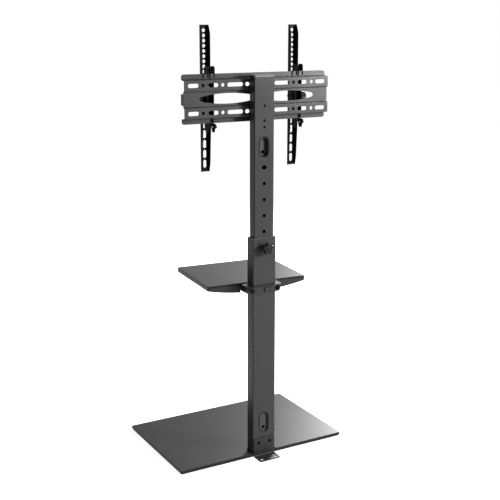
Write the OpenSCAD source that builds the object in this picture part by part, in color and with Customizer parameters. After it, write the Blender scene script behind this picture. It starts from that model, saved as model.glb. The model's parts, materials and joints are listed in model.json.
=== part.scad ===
// Television stand: glass base, two-part height-adjustable column, tilting screen arms and a shelf.
// X runs along the width, Y from the front (screen side) to the rear, Z up.
// Left and right are as seen from behind: left is +X.

/* [Base] */
// Width of the base
base_w = 600; // [520:10:760]
// Depth of the base
base_d = 400; // [340:10:520]
// Thickness of the base glass
base_glass_t = 8; // [6:0.5:12]
// Thickness of the steel plate under the glass
base_plate_t = 4.5; // [4:0.5:8]
// Diameter of each rubber foot
foot_dia = 38; // [24:1:50]
// Height of each rubber foot
foot_h = 2.5; // [2:0.5:6]

/* [Column] */
// Width of the lower column
lower_w = 82; // [76:1:96]
// Depth of the lower column
lower_d = 38; // [36:1:48]
// Height of the lower column's top above the floor
lower_top = 729; // [680:1:800]
// Width of the upper column
upper_w = 69; // [60:1:72]
// Depth of the upper column
upper_d = 31; // [28:0.5:32]
// Wall thickness of both columns
tube_wall = 1.5; // [1.2:0.1:2]
// Height of the upper column's top above the floor, as set
upper_top = 1226; // [1180:1:1280]
// Length of the upper column inside the lower one, as set
overlap = 299; // [260:1:400]

/* [Height lock] */
// Distance of the height knob below the lower column's top
knob_drop = 31.5; // [26:0.5:40]
// Diameter over the height knob's lobes
knob_dia = 40; // [32:1:50]
// Spacing of the height holes
hole_pitch = 50; // [40:1:60]
// Diameter of each height hole
hole_dia = 9; // [8:0.5:10]

/* [Cable ports] */
// Width over the rim of each cable port
port_w = 40; // [30:1:44]
// Height over the rim of the lower cable port
lower_port_h = 77; // [60:1:90]
// Height of the lower cable port's centre above the floor
lower_port_z = 115; // [110:1:160]
// Height over the rim of the upper cable port
upper_port_h = 72; // [60:1:90]
// Distance of the upper cable port's centre below the upper column's top
upper_port_drop = 216.5; // [205:0.5:240]

/* [Floor bracket] */
// Width of the floor bracket
bracket_w = 76; // [68:1:80]
// Height of the floor bracket's upright leg
bracket_h = 64; // [56:1:72]
// Distance from the column axis to the rear edge of the floor bracket
flange_reach = 64; // [58:1:80]
// Thickness of the floor bracket
bracket_t = 3; // [2.5:0.5:4]

/* [Mounting plate] */
// Width of the mounting plate
plate_w = 500; // [460:5:540]
// Height of the mounting plate
plate_h = 146; // [142:1:154]
// Sheet thickness of the mounting plate
plate_t = 2; // [1.5:0.1:2.5]
// Distance of the plate's centre below the upper column's top
plate_drop = 68.5; // [60:0.5:76]

/* [Screen arms] */
// Length of each screen arm
arm_len = 436; // [430:1:480]
// Width of each screen arm
arm_w = 28; // [26:1:34]
// Depth of each screen arm's channel
arm_d = 18; // [17:0.5:20]
// Sheet thickness of the arms and tilt brackets
arm_t = 2; // [1.5:0.1:2.2]
// Distance between the two arms, as set
arm_spacing = 307; // [260:1:320]
// Sideways offset of the pair of arms, as set
arm_shift = 4.5; // [-10:0.5:10]
// Tilt that brings the top of the screen forward, in degrees
tilt_forward = 10; // [4:1:12]
// Tilt that takes the top of the screen back, in degrees
tilt_back = 5; // [2:1:6]

/* [Shelf] */
// Width of the shelf
shelf_w = 340; // [300:5:420]
// Depth of the shelf
shelf_d = 270; // [230:5:320]
// Height of the shelf's top above the floor, as set
shelf_top = 577.5; // [300:0.5:640]
// Thickness of the shelf glass
shelf_glass_t = 5; // [4:0.5:8]
// Turn of the shelf about the column, in degrees, taken up by its slotted bolts
shelf_turn = 4.92; // [0:0.02:5]
// Distance from the column axis to the shelf's rear edge
shelf_rear = 30; // [28:0.5:40]

/* [Hidden] */
$fn = 48;

// Overrun of every cut past the face that it opens
over = 1;
// Gap between pieces that move past each other
gap = 0.3;
// Radial clearance of a turning or bolted fit
snug = 0.06;

// Base
base_rear = lower_d / 2 + bracket_t;
axis_y = (base_d - base_rear - flange_reach) / 2;
base_inset = 2;
base_corner_r = 4;
glass_bevel = 1;
glass_z = foot_h + base_plate_t;
foot_plate_t = 5;
foot_plate_top = glass_z + foot_plate_t;
foot_inset = 27;
foot_rows = [base_rear - foot_inset, foot_inset + base_rear - base_d];
foot_columns = [foot_inset - base_w / 2, 0, base_w / 2 - foot_inset];
foot_margin = 2;
foot_half = lower_w / 2 + foot_margin;
foot_front = -(lower_d / 2 + foot_margin);
notch_gap = 0.5;
foot_screw_r = 3;
foot_screw_head_r = 5.8;
foot_screw_head_h = 2.8;
foot_screw_tip_gap = 0.5;
foot_screw_in = foot_screw_head_r + foot_screw_r;
foot_screw_x = lower_w / 2 - foot_screw_in;
foot_screw_y = lower_d / 2 - foot_screw_in;
foot_screw_places = [for (sx = [-1, 1], sy = [-1, 1]) [sx * foot_screw_x, sy * foot_screw_y]];

// Columns
tube_r = 3;
rim_t = 1.5;
sleeve_len = 100;
sleeve_bore_w = upper_w + 2 * gap;
sleeve_bore_d = upper_d + 2 * gap;
sleeve_out_w = lower_w - 2 * tube_wall - 2 * snug;
sleeve_out_d = lower_d - 2 * tube_wall - 2 * snug;
snap_r = 3;
snap_y = -3;
snap_drop = 17;
upper_bottom = lower_top - overlap;
plug_len = 30;
plug_lip = 2;
cap_band = 7.5;
cap_plug = 12;
cap_bevel = 1;
rim_w = 0.8;
rim_proud = 0.6;
rim_band = 1.9;
groove_w = 2.5;
groove_h = 3;
groove_floor = 1.2;
pocket_wall = 1.2;
pocket_h = 12;
cable_hole_r = 5.5;
cable_hole_inset = 20;
upper_port_z = upper_top - upper_port_drop;

// Height lock
knob_z = lower_top - knob_drop;
stud_r = 4;
bush_r = 10;
bush_len = 8;
knob_hub_r = 10;
knob_neck = 8;
knob_grip = 10;
knob_lobes = 5;
knob_lobe_r = 7.5;
knob_face_r = 6;
knob_face_h = 1.5;
stud_in_knob = 12;
height_steps_down = 3;
height_steps_up = 4;
wide_hole_step = height_steps_up + 1;
wide_hole_w = 17;
wide_hole_h = 12;
small_hole_r = 3;
small_hole_drops = [92, 136, 156];

// Floor bracket
bracket_r = 6;
bracket_screw_r = 3;
bracket_screw_x = 20.5;
bracket_screw_z = 47.7;
screw_head_r = 5.5;
screw_head_h = 3;
rivet_nut_r = 5;
rivet_nut_len = 8;
floor_hole_r = 5;
floor_hole_x = 25;
floor_hole_inset = 13.5;
bend_in = 3;
bend_out = bend_in + bracket_t;

// Mounting plate: heights are measured up and down from the plate's centre
plate_z = upper_top - plate_drop;
backing_t = 2.5;
backing_margin = 12;
rib_y = -(upper_d / 2 + backing_t);
lip_step = 19;
mid_step = 6;
lip_h = 14.5;
lip_slope = 3;
mid_half = 21.5;
mid_slope = 2.75;
plate_corner_r = 8;
lip_y = rib_y - lip_step;
mid_y = rib_y - mid_step;
lip_front = lip_y - plate_t;
lip_in = plate_h / 2 - lip_h;
tab_half = 17;
tab_len = 16;
slot_h = 12;
slot_row = 40.5;
slot_shares = [[0.160, 0.056], [0.325, 0.210], [0.619, 0.134], [0.881, 0.138]];
round_shares = [0.492, 0.756];
round_hole_r = 5.2;
eye_share = 0.416;
eye_half_w = 96;
eye_lens_half = 120;
eye_half_h = 15.4;
plate_bolt_x = 18;
plate_bolt_r = 3;
plate_bolt_head_r = 6;
plate_bolt_head_h = 4;
nut_h = 5;
nut_r = 5.5;

// Arms and tilt brackets: places are measured from the pivot axis
left_x = arm_shift + arm_spacing / 2;
right_x = arm_shift - arm_spacing / 2;
pivot_reach = 27;
pivot_y = lip_front - pivot_reach;
pivot_drop = 4.5;
pivot_z = plate_z - pivot_drop;
face_reach = 8;
arm_bend_r = 3;
arm_top_d = 8;
arm_top_step_d = 12;
arm_top_step = 10;
arm_top_taper = 25;
arm_foot_d = 6;
arm_foot_step_d = 12;
arm_foot_step = 26;
arm_foot_taper = 125;
lock_reach = 15.5;
ear_r = 13.5;
ear_root = 22;
ear_blend = 7.5;
ear_tip_share = 0.78;
arm_hole_r = 5.25;
arm_hole_pitch = 15;
arm_hole_count = 9;
arm_hole_inset = 16;
arm_slot_w = 10;
arm_slot_len = 24;
arm_slot_pitch = 30;
arm_slot_count = 5;
arm_slot_inset = 24;
bolt_r = 3;
bolt_head_r = 5;
bolt_head_h = 3;
cheek_x = arm_w / 2 - arm_t - gap - arm_t;
nose_r = 5.5;
nose_flare = 27.5;
cheek_front = 16;
cheek_lip_gap = 2;
cheek_rear = lip_front - cheek_lip_gap;
hook_top = 22;
hook_leg_in = 8;
hook_leg_t = 5;
hook_leg_tip = 11.5;
hook_r = 8;
belly_rear = 9;
belly_out = 56;
belly_in = 46;
toe_h = 27;
toe_back = 19;
toe_tip_out = 11;
toe_gap = 0.5;
toe_heel_share = 0.25;
toe_root_share = 0.333;
web_t = 2;
web_gap = 3;
web_half = 57;
tab_front = 0.4;
tab_w = 7.2;
tab_t = 2;
tab_top_in = 13;
tab_tail = 37.5;
tab_travel = 14;
lock_screw_r = 2;
lock_screw_drop = 10.5;
thumb_r = 5;
thumb_len = 8;
lock_nut_r = 4;
lock_nut_h = 3;
cord_hole_r = 1.6;
tilt_knob_len = 22.5;
tilt_knob_r = 12;
tilt_knob_lobes = 6;
tilt_knob_lobe_r = 3.2;
tilt_knob_neck_r = 7;
tilt_knob_neck = 4;
tilt_bolt_tip = 16;

// Shelf
pad_t = 1;
pad_r = 10;
pad_inset = 30;
tray_t = 2;
skirt_t = 2;
skirt_side = 7.5;
skirt_sag = 18.5;
tray_top = shelf_top - shelf_glass_t - pad_t;
tray_bottom = tray_top - tray_t;
skirt_low = tray_bottom - skirt_side;
recess_run = 12;
collar_w = 120;
collar_t = 3;
collar_corner_r = 14;
collar_drop = 1;
collar_top = shelf_top - collar_drop;
collar_h = 24.5;
collar_low = collar_top - collar_h;
collar_front = -(lower_d / 2 + gap + collar_t);
clamp_t = 5;
clamp_rear = lower_d / 2 + gap + clamp_t;
collar_lip = 5;
collar_rear = clamp_rear + collar_lip;
collar_mid = (collar_rear + collar_front) / 2;
bearer_out = 55;
bearer_flange = 15;
bearer_len = 110;
recess_half = bearer_out + 2 * gap;
clamp_w = 108;
clamp_bolt_x = 46;
clamp_bolt_r = 3;
clamp_head_r = 7.5;
clamp_head_h = 5.5;
clamp_bolt_up = 11.5;
clamp_bolt_z = collar_low + clamp_bolt_up;
clamp_block_w = 27;
clamp_block_h = 13;
clamp_block_t = 4;
clamp_block_x = -10.5;
shelf_bolt_r = 2.5;
shelf_bolt_head_r = 4.5;
shelf_bolt_head_h = 3;
shelf_bolt_reach = [32, 92];
shelf_slot_len = 12;

// Shapes
module at_column() translate([0, axis_y, 0]) children();

module rounded(w, d, r) {
    square([w - 2 * r, d], center = true);
    square([w, d - 2 * r], center = true);
    for (sx = [-1, 1], sy = [-1, 1])
        translate([sx * (w / 2 - r), sy * (d / 2 - r)]) circle(r);
}

// A slot with round ends: wide is its length along X, tall its size along Y
module slot(wide, tall) {
    r = min(wide, tall) / 2;
    run_x = max(wide - tall, 0) / 2;
    run_y = max(tall - wide, 0) / 2;
    translate([-run_x, -run_y]) circle(r);
    translate([run_x, run_y]) circle(r);
    if (run_x > 0) square([2 * run_x, tall], center = true);
    if (run_y > 0) square([wide, 2 * run_y], center = true);
}

module tube(w, d, z0, z1) translate([0, 0, z0]) linear_extrude(z1 - z0) difference() {
    rounded(w, d, tube_r);
    rounded(w - 2 * tube_wall, d - 2 * tube_wall, tube_r - tube_wall);
}

// A ring of rectangular section outlines
module ring(out_w, out_d, in_w, in_d, r, z0, z1) translate([0, 0, z0]) linear_extrude(z1 - z0) difference() {
    rounded(out_w, out_d, r);
    rounded(in_w, in_d, tube_r);
}

// A round bar along Y, X or Z between two places
module bar_y(r, x, z, y0, y1) translate([x, y0, z]) rotate([-90, 0, 0]) cylinder(r = r, h = y1 - y0);
module bar_x(r, y, z, x0, x1) translate([x0, y, z]) rotate([0, 90, 0]) cylinder(r = r, h = x1 - x0);
module bar_z(r, x, y, z0, z1) translate([x, y, z0]) cylinder(r = r, h = z1 - z0);

// An outline in X and Z, extruded along Y
module slab_y(y0, y1) translate([0, y1, 0]) rotate([90, 0, 0]) linear_extrude(y1 - y0) children();

// An outline in Y and Z, extruded along X
module slab_x(x0, x1) translate([x0, 0, 0]) rotate([90, 0, 90]) linear_extrude(x1 - x0) children();

// A glass sheet with bevelled top edges, centred in X, from y0 to y1
module glass_sheet(w, y0, y1, z0, z1, r, bevel) {
    d = y1 - y0;
    mid = (y0 + y1) / 2;
    wedge = bevel * sqrt(2);
    difference() {
        translate([0, mid, z0]) linear_extrude(z1 - z0) rounded(w, d, r);
        for (s = [-1, 1]) {
            translate([s * w / 2, mid, z1]) rotate([0, 45, 0])
                cube([wedge, d + 2 * over, wedge], center = true);
            translate([0, mid + s * d / 2, z1]) rotate([45, 0, 0])
                cube([w + 2 * over, wedge, wedge], center = true);
        }
    }
}

// A knob outline with round lobes
module lobed(lobes, r, lobe_r) {
    circle(r - lobe_r);
    for (i = [0:lobes - 1]) rotate(90 + i * 360 / lobes) translate([r - lobe_r, 0]) circle(lobe_r);
}

// Base
// The block round the column's foot, grown by a gap and running to y1
module foot_block(grow, y1, z0, z1) translate([-foot_half - grow, foot_front - grow, z0])
    cube([2 * (foot_half + grow), y1 - foot_front + grow, z1 - z0]);

module bracket_recess() translate([-bracket_w / 2 - gap, lower_d / 2, 0])
    cube([bracket_w + 2 * gap, bracket_t + over, foot_plate_top + over]);

module base_feet() at_column() color("dimgray")
    for (x = foot_columns, y = foot_rows) bar_z(foot_dia / 2, x, y, 0, foot_h);

module base_plate() at_column() color([0.14, 0.14, 0.15]) difference() {
    translate([0, base_rear - base_d / 2, foot_h]) linear_extrude(base_plate_t)
        rounded(base_w - 2 * base_inset, base_d - 2 * base_inset, base_corner_r);
    bracket_recess();
    for (p = foot_screw_places) {
        bar_z(foot_screw_r + snug, p[0], p[1], 0, glass_z + over);
        translate([p[0], p[1], foot_h])
            cylinder(r1 = foot_screw_head_r + snug, r2 = foot_screw_r + snug, h = foot_screw_head_h);
    }
}

module base_glass() at_column() color([0.16, 0.16, 0.17]) difference() {
    glass_sheet(base_w, base_rear - base_d, base_rear, glass_z, glass_z + base_glass_t, base_corner_r, glass_bevel);
    foot_block(notch_gap, base_rear + over, glass_z - over, glass_z + base_glass_t + over);
}

module foot_plate() at_column() color([0.15, 0.15, 0.16]) difference() {
    foot_block(0, base_rear, glass_z, foot_plate_top);
    bracket_recess();
    for (p = foot_screw_places)
        bar_z(foot_screw_r + snug, p[0], p[1], glass_z - over, foot_plate_top - foot_screw_tip_gap + snug);
}

module foot_screws() at_column() color("silver") for (p = foot_screw_places) {
    bar_z(foot_screw_r, p[0], p[1], foot_h + foot_screw_head_h / 2, foot_plate_top - foot_screw_tip_gap);
    translate([p[0], p[1], foot_h])
        cylinder(r1 = foot_screw_head_r, r2 = foot_screw_r, h = foot_screw_head_h);
}

// Columns
module port_cut(depth, z, tall) slab_y(0, depth / 2 + over)
    translate([0, z]) slot(port_w - 2 * rim_w, tall - 2 * rim_w);

// A port insert: flat rim, groove, finger pocket and a cable hole near the pocket's lower end
module port_insert(depth, z, tall) translate([0, 0, z]) {
    face = depth / 2 + rim_proud;
    plug_in = 2 * (rim_w + snug);
    groove_out = 2 * rim_band;
    groove_in = groove_out + 2 * groove_w;
    pocket_in = groove_in + 2 * pocket_wall;
    pocket_back = face - pocket_h - pocket_wall;
    difference() {
        union() {
            slab_y(depth / 2, face) slot(port_w, tall);
            slab_y(face - groove_h - groove_floor, depth / 2 + rim_proud / 2)
                slot(port_w - plug_in, tall - plug_in);
            slab_y(pocket_back, face - groove_h - groove_floor / 2) slot(port_w - groove_in, tall - groove_in);
        }
        slab_y(face - pocket_h, face + over) slot(port_w - pocket_in, tall - pocket_in);
        slab_y(face - groove_h, face + over) difference() {
            slot(port_w - groove_out, tall - groove_out);
            slot(port_w - groove_in, tall - groove_in);
        }
        bar_y(cable_hole_r, 0, cable_hole_inset - tall / 2, pocket_back - over, face - pocket_h + over);
    }
}

module lower_column() at_column() color([0.22, 0.22, 0.23]) difference() {
    tube(lower_w, lower_d, foot_plate_top, lower_top - rim_t);
    port_cut(lower_d, lower_port_z, lower_port_h);
    bar_y(stud_r + snug, 0, knob_z, 0, lower_d / 2 + over);
    for (s = [-1, 1]) bar_y(rivet_nut_r + snug, s * bracket_screw_x, bracket_screw_z, 0, lower_d / 2 + over);
    bar_x(snap_r + snug, snap_y, lower_top - snap_drop, -lower_w / 2 - over, lower_w / 2 + over);
}

module column_sleeve() at_column() color([0.08, 0.08, 0.08]) difference() {
    union() {
        ring(sleeve_out_w, sleeve_out_d, sleeve_bore_w, sleeve_bore_d, tube_r - tube_wall, lower_top - sleeve_len,
            lower_top - rim_t / 2);
        ring(lower_w, lower_d, sleeve_bore_w, sleeve_bore_d, tube_r, lower_top - rim_t, lower_top);
        for (s = [-1, 1])
            bar_x(snap_r, snap_y, lower_top - snap_drop, s * (lower_w / 2 - tube_wall) - tube_wall + gap,
                s * (lower_w / 2 - tube_wall) + tube_wall - gap);
    }
    bar_y(stud_r + gap, 0, knob_z, 0, lower_d / 2);
    translate([0, 0, lower_top - snap_drop - snap_r - over]) linear_extrude(2 * (snap_r + over))
        rounded(sleeve_bore_w, sleeve_bore_d, tube_r);
}

module lower_port_grommet() at_column() color([0.2, 0.2, 0.2]) port_insert(lower_d, lower_port_z, lower_port_h);

module upper_column() at_column() color([0.26, 0.26, 0.27]) difference() {
    tube(upper_w, upper_d, upper_bottom, upper_top - cap_band);
    port_cut(upper_d, upper_port_z, upper_port_h);
    for (i = [-height_steps_down:height_steps_up])
        bar_y(hole_dia / 2, 0, knob_z + i * hole_pitch, 0, upper_d / 2 + over);
    slab_y(0, upper_d / 2 + over) translate([0, knob_z + wide_hole_step * hole_pitch])
        slot(wide_hole_w, wide_hole_h);
    for (drop = small_hole_drops) bar_y(small_hole_r, 0, upper_top - drop, 0, upper_d / 2 + over);
    for (sx = [-1, 1], sz = [-1, 1])
        bar_y(plate_bolt_r + snug, sx * plate_bolt_x, plate_z + sz * slot_row, -upper_d / 2 - over, 0);
}

module slide_plug() at_column() color([0.08, 0.08, 0.08]) {
    plug_w = lower_w - 2 * tube_wall - 2 * gap;
    plug_d = lower_d - 2 * tube_wall - 2 * gap;
    ring(plug_w, plug_d, upper_w + 2 * snug, upper_d + 2 * snug, tube_r, upper_bottom, upper_bottom + plug_len);
    ring(plug_w, plug_d, upper_w - 2 * tube_wall, upper_d - 2 * tube_wall, tube_r, upper_bottom - plug_lip, upper_bottom);
}

module upper_port_grommet() at_column() color([0.2, 0.2, 0.2]) port_insert(upper_d, upper_port_z, upper_port_h);

module column_cap() at_column() color([0.10, 0.10, 0.10]) {
    inner_w = upper_w - 2 * tube_wall - 2 * snug;
    inner_d = upper_d - 2 * tube_wall - 2 * snug;
    translate([0, 0, upper_top - cap_band - cap_plug]) linear_extrude(cap_plug + cap_bevel)
        rounded(inner_w, inner_d, tube_r - tube_wall);
    translate([0, 0, upper_top - cap_band]) linear_extrude(cap_band - cap_bevel) rounded(upper_w, upper_d, tube_r);
    translate([0, 0, upper_top - cap_bevel]) linear_extrude(cap_bevel)
        rounded(upper_w - 2 * cap_bevel, upper_d - 2 * cap_bevel, tube_r - cap_bevel);
}

// Height lock
module knob_bush() at_column() color("dimgray") difference() {
    bar_y(bush_r, 0, knob_z, lower_d / 2, lower_d / 2 + bush_len);
    bar_y(stud_r + snug, 0, knob_z, lower_d / 2 - over, lower_d / 2 + bush_len + over);
}

module height_knob() at_column() color([0.06, 0.06, 0.06]) {
    neck_y = lower_d / 2 + bush_len + gap;
    grip_y = neck_y + knob_neck;
    translate([0, 0, knob_z]) {
        difference() {
            union() {
                slab_y(neck_y, grip_y) circle(knob_hub_r);
                slab_y(grip_y, grip_y + knob_grip) lobed(knob_lobes, knob_dia / 2, knob_lobe_r);
                slab_y(grip_y + knob_grip, grip_y + knob_grip + knob_face_h) circle(knob_face_r);
            }
            bar_y(stud_r, 0, 0, neck_y - over, neck_y + stud_in_knob);
        }
    }
}

module knob_stud() at_column() color("silver")
    bar_y(stud_r, 0, knob_z, upper_d / 2 + gap, lower_d / 2 + bush_len + gap + stud_in_knob);

// Floor bracket
module floor_bracket() at_column() color([0.2, 0.2, 0.21]) difference() {
    union() {
        slab_y(lower_d / 2, lower_d / 2 + bracket_t) {
            translate([0, (bracket_h - bracket_r) / 2]) square([bracket_w, bracket_h - bracket_r], center = true);
            translate([0, bracket_h - bracket_r]) slot(bracket_w, 2 * bracket_r);
        }
        linear_extrude(bracket_t) {
            translate([0, (lower_d / 2 + flange_reach - bracket_r) / 2])
                square([bracket_w, flange_reach - bracket_r - lower_d / 2], center = true);
            translate([0, flange_reach - bracket_r]) slot(bracket_w, 2 * bracket_r);
        }
        // Inside of the bend
        difference() {
            translate([-bracket_w / 2, base_rear - bracket_t / 2, bracket_t / 2])
                cube([bracket_w, bend_in + bracket_t / 2, bend_in + bracket_t / 2]);
            bar_x(bend_in, base_rear + bend_in, bracket_t + bend_in, -bracket_w / 2 - over, bracket_w / 2 + over);
        }
    }
    // Outside of the bend
    difference() {
        translate([-bracket_w / 2 - over, lower_d / 2 - over, -over])
            cube([bracket_w + 2 * over, bend_out + over, bend_out + over]);
        bar_x(bend_out, lower_d / 2 + bend_out, bend_out, -bracket_w / 2 - 2 * over, bracket_w / 2 + 2 * over);
    }
    for (s = [-1, 1]) {
        bar_y(bracket_screw_r + snug, s * bracket_screw_x, bracket_screw_z, lower_d / 2 - over, base_rear + over);
        bar_z(floor_hole_r, s * floor_hole_x, flange_reach - floor_hole_inset, -over, bracket_t + over);
    }
}

module bracket_screws() at_column() color("gray") for (s = [-1, 1]) {
    bar_y(screw_head_r, s * bracket_screw_x, bracket_screw_z, base_rear, base_rear + screw_head_h);
    bar_y(bracket_screw_r, s * bracket_screw_x, bracket_screw_z, base_rear - bracket_t - rivet_nut_len, base_rear);
}

module bracket_nuts() at_column() color("silver") for (s = [-1, 1]) difference() {
    bar_y(rivet_nut_r, s * bracket_screw_x, bracket_screw_z, lower_d / 2 - rivet_nut_len, lower_d / 2);
    bar_y(bracket_screw_r + snug, s * bracket_screw_x, bracket_screw_z, 0, lower_d / 2 + over);
}

// Mounting plate
// Height on the front side of a sloping web that joins a and b on the rear side
function web_front(a, b, side, y) = a[1] + (b[1] - a[1]) / (b[0] - a[0]) * (y - a[0])
    + side * plate_t * norm(b - a) / (b[0] - a[0]);

module plate_profile() {
    half_h = plate_h / 2;
    rib_out = lip_in - lip_slope;
    rib_in = mid_half + mid_slope;
    lip_bend = [lip_y, lip_in];
    rib_bend = [rib_y, rib_out];
    mid_bend = [mid_y, mid_half];
    rib_low = [rib_y, rib_in];
    rear = [[lip_y, half_h], lip_bend, rib_bend, rib_low, mid_bend];
    front = [
        [mid_y - plate_t, web_front(mid_bend, rib_low, 1, mid_y - plate_t)],
        [rib_y - plate_t, web_front(mid_bend, rib_low, 1, rib_y - plate_t)],
        [rib_y - plate_t, web_front(lip_bend, rib_bend, -1, rib_y - plate_t)],
        [lip_front, web_front(lip_bend, rib_bend, -1, lip_front)],
        [lip_front, half_h]
    ];
    down = [for (i = [len(rear) - 1:-1:0]) [rear[i][0], -rear[i][1]]];
    up = [for (i = [len(front) - 1:-1:0]) [front[i][0], -front[i][1]]];
    translate([0, plate_z]) polygon(concat(rear, down, up, front));
}

module plate_cuts() translate([0, plate_z]) {
    half_w = plate_w / 2;
    for (sx = [-1, 1], sz = [-1, 1]) translate([0, sz * slot_row]) {
        for (s = slot_shares) translate([sx * s[0] * half_w, 0]) slot(s[1] * half_w, slot_h);
        for (s = round_shares) translate([sx * s * half_w, 0]) circle(round_hole_r);
        translate([sx * plate_bolt_x, 0]) circle(plate_bolt_r + snug);
    }
    lens_r = (pow(eye_lens_half, 2) + pow(eye_half_h, 2)) / (2 * eye_half_h);
    for (sx = [-1, 1]) translate([sx * eye_share * half_w, 0]) intersection() {
        translate([0, lens_r - eye_half_h]) circle(lens_r, $fn = 360);
        translate([0, eye_half_h - lens_r]) circle(lens_r, $fn = 360);
        polygon([
            [-eye_half_w, 0], [-eye_half_w + eye_half_h, -eye_half_h], [eye_half_w - eye_half_h, -eye_half_h],
            [eye_half_w, 0], [eye_half_w - eye_half_h, eye_half_h], [-eye_half_w + eye_half_h, eye_half_h]
        ]);
    }
}

module wall_plate() at_column() color([0.17, 0.17, 0.18]) {
    difference() {
        intersection() {
            slab_x(-plate_w / 2, plate_w / 2) plate_profile();
            slab_y(lip_front - over, rib_y + over) translate([0, plate_z]) rounded(plate_w, plate_h, plate_corner_r);
        }
        slab_y(lip_front - over, rib_y + over) plate_cuts();
    }
    for (s = [-1, 1]) translate([s * (plate_w - plate_t) / 2, mid_y - (plate_t + tab_len) / 2, plate_z])
        cube([plate_t, plate_t + tab_len, 2 * tab_half], center = true);
}

module mount_backing() at_column() color([0.15, 0.15, 0.16]) difference() {
    translate([0, -upper_d / 2 - backing_t / 2, plate_z])
        cube([upper_w - 2 * tube_r, backing_t, 2 * (slot_row + backing_margin)], center = true);
    for (sx = [-1, 1], sz = [-1, 1])
        bar_y(plate_bolt_r + snug, sx * plate_bolt_x, plate_z + sz * slot_row, rib_y - over, 0);
}

module plate_bolts() at_column() color("silver") for (sx = [-1, 1], sz = [-1, 1]) {
    head_y = rib_y - plate_t;
    bar_y(plate_bolt_head_r, sx * plate_bolt_x, plate_z + sz * slot_row, head_y - plate_bolt_head_h, head_y);
    bar_y(plate_bolt_r, sx * plate_bolt_x, plate_z + sz * slot_row, head_y, tube_wall + nut_h - upper_d / 2);
}

module plate_nuts() at_column() color("silver") for (sx = [-1, 1], sz = [-1, 1]) difference() {
    seat = tube_wall - upper_d / 2;
    translate([sx * plate_bolt_x, seat, plate_z + sz * slot_row]) rotate([-90, 0, 0])
        cylinder(r = nut_r, h = nut_h, $fn = 6);
    bar_y(plate_bolt_r + snug, sx * plate_bolt_x, plate_z + sz * slot_row, seat - over, seat + nut_h + over);
}

// Tilt brackets
module pivot_frame() translate([pivot_y, pivot_z]) children();

module cheek_outline() {
    lip_top = plate_z + plate_h / 2;
    lip_low = plate_z - plate_h / 2;
    front = pivot_y + cheek_front;
    notch_top = lip_top + gap;
    leg_front = lip_y + hook_leg_in;
    leg_rear = leg_front + hook_leg_t;
    top = lip_top + hook_top;
    low = lip_low - toe_gap;
    toe_low = lip_low - toe_h;
    difference() {
        union() {
            // Front strip with the round-topped hook
            translate([front, low - toe_gap]) square([cheek_rear - front, top - hook_r - low + toe_gap]);
            translate([front, notch_top]) square([leg_rear - front, top - hook_r - notch_top]);
            translate([(front + leg_rear) / 2, top - hook_r]) slot(leg_rear - front, 2 * hook_r);
            translate([leg_front, lip_top - hook_leg_tip]) square([hook_leg_t, hook_leg_tip + 2 * gap]);
            // Belly between the lips
            polygon([
                [front, plate_z - belly_out], [cheek_rear, plate_z - belly_out],
                [lip_front + belly_rear, plate_z - belly_in], [lip_front + belly_rear, plate_z + belly_in],
                [cheek_rear, plate_z + belly_out], [front, plate_z + belly_out]
            ]);
            // Toe under the lower lip
            polygon([
                [front, low], [lip_front + toe_back, low], [lip_front + toe_back, low - toe_heel_share * toe_h],
                [lip_front + toe_tip_out, toe_low], [cheek_rear, toe_low], [front, low - toe_root_share * toe_h]
            ]);
            // Nose round the pivot
            polygon([
                [pivot_y, pivot_z + nose_r], [front, pivot_z + nose_flare],
                [front, pivot_z - nose_flare], [pivot_y, pivot_z - nose_r]
            ]);
            pivot_frame() circle(nose_r);
        }
        pivot_frame() circle(bolt_r + snug);
        // Clearance slot for the tilt bolt
        up = lock_reach * sin(tilt_forward);
        down = lock_reach * sin(tilt_back);
        pivot_frame() translate([lock_reach, (up - down) / 2])
            slot(2 * (bolt_r + 2 * gap), up + down + 2 * (bolt_r + 2 * gap));
        translate([tab_mid_y(), lock_screw_z()]) circle(lock_screw_r + snug);
    }
}
function tab_mid_y() = lip_y + tab_front + tab_w / 2;
function lock_screw_z() = plate_z - plate_h / 2 - lock_screw_drop;

module tilt_bracket() at_column() color([0.13, 0.13, 0.14]) {
    for (x = [-cheek_x - arm_t, cheek_x]) slab_x(x, x + arm_t) cheek_outline();
    web_y = pivot_y + lock_reach + bolt_r + web_gap;
    translate([0, web_y, plate_z]) cube([2 * cheek_x, web_t, 2 * web_half], center = true);
}

module pivot_bolt() at_column() color("silver") {
    bar_x(bolt_r, pivot_y, pivot_z, -arm_w / 2 - gap, arm_w / 2 + gap);
    for (x = [-arm_w / 2 - gap - bolt_head_h, arm_w / 2 + gap])
        bar_x(bolt_head_r, pivot_y, pivot_z, x, x + bolt_head_h);
}

module lock_tab() at_column() color("gray") slab_x(-cheek_x + gap, -cheek_x + gap + tab_t) difference() {
    top = plate_z - plate_h / 2 + tab_top_in;
    union() {
        translate([tab_mid_y(), top - tab_tail / 2 + tab_w / 4]) square([tab_w, tab_tail - tab_w / 2], center = true);
        translate([tab_mid_y(), top - tab_tail + tab_w / 2]) circle(tab_w / 2);
    }
    translate([tab_mid_y(), lock_screw_z() + tab_travel / 2])
        slot(2 * (lock_screw_r + snug), tab_travel + 2 * (lock_screw_r + snug));
    translate([tab_mid_y(), top - tab_tail + tab_w / 2]) circle(cord_hole_r);
}

module lock_screw() at_column() color("dimgray") {
    seat = -cheek_x - arm_t - gap;
    bar_x(thumb_r, tab_mid_y(), lock_screw_z(), seat - thumb_len, seat);
    bar_x(lock_screw_r, tab_mid_y(), lock_screw_z(), seat, -cheek_x + 2 * gap + tab_t + lock_nut_h);
}

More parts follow.
